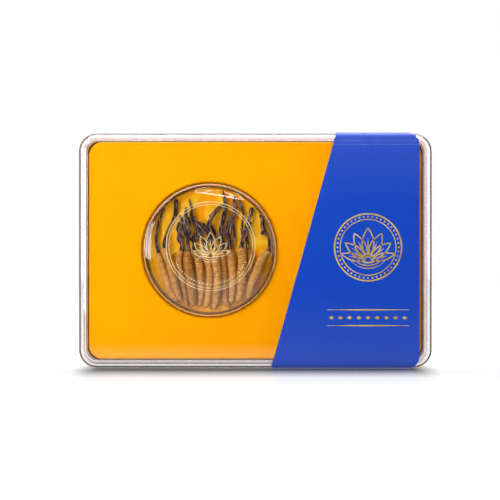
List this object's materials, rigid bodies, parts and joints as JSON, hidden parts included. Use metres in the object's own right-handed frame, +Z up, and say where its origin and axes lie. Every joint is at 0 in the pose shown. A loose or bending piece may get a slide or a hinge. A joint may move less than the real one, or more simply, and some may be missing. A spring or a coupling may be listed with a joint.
{
  "type": "boxed dried cordyceps",
  "caption": "Dried cordyceps fanned upright in a round clear capsule, set in a yellow satin insert in a clear press-fit gift case with a slanted blue card sleeve.",
  "frame": {"origin": "on the ground under the middle of the case, which stands on its long edge", "axes": "+Z up, +X along the case's width to the viewer's right, -Y out of the front that shows the capsule"},
  "size_m": [0.2284, 0.0414, 0.1528],
  "materials": {
    "clear_plastic": "clear, polished",
    "yellow_satin": "satin weave, soft sheen",
    "yellow_silk": "crumpled silk",
    "dried_cordyceps": "dry, finely ringed, dull",
    "blue_card": "laminated, with gold foil"
  },
  "bodies": {
    "root": {"case_base": "clear_plastic", "case_lid": "clear_plastic", "insert": "yellow_satin", "capsule_base": "clear_plastic", "capsule_lid": "clear_plastic", "capsule_pad": "yellow_silk", "cordyceps_01": "dried_cordyceps", "cordyceps_02": "dried_cordyceps", "cordyceps_03": "dried_cordyceps", "cordyceps_04": "dried_cordyceps", "cordyceps_05": "dried_cordyceps", "cordyceps_06": "dried_cordyceps", "cordyceps_07": "dried_cordyceps", "cordyceps_08": "dried_cordyceps", "cordyceps_09": "dried_cordyceps", "cordyceps_10": "dried_cordyceps", "cordyceps_11": "dried_cordyceps", "cordyceps_12": "dried_cordyceps", "sleeve": "blue_card"}
  },
  "joints": []
}
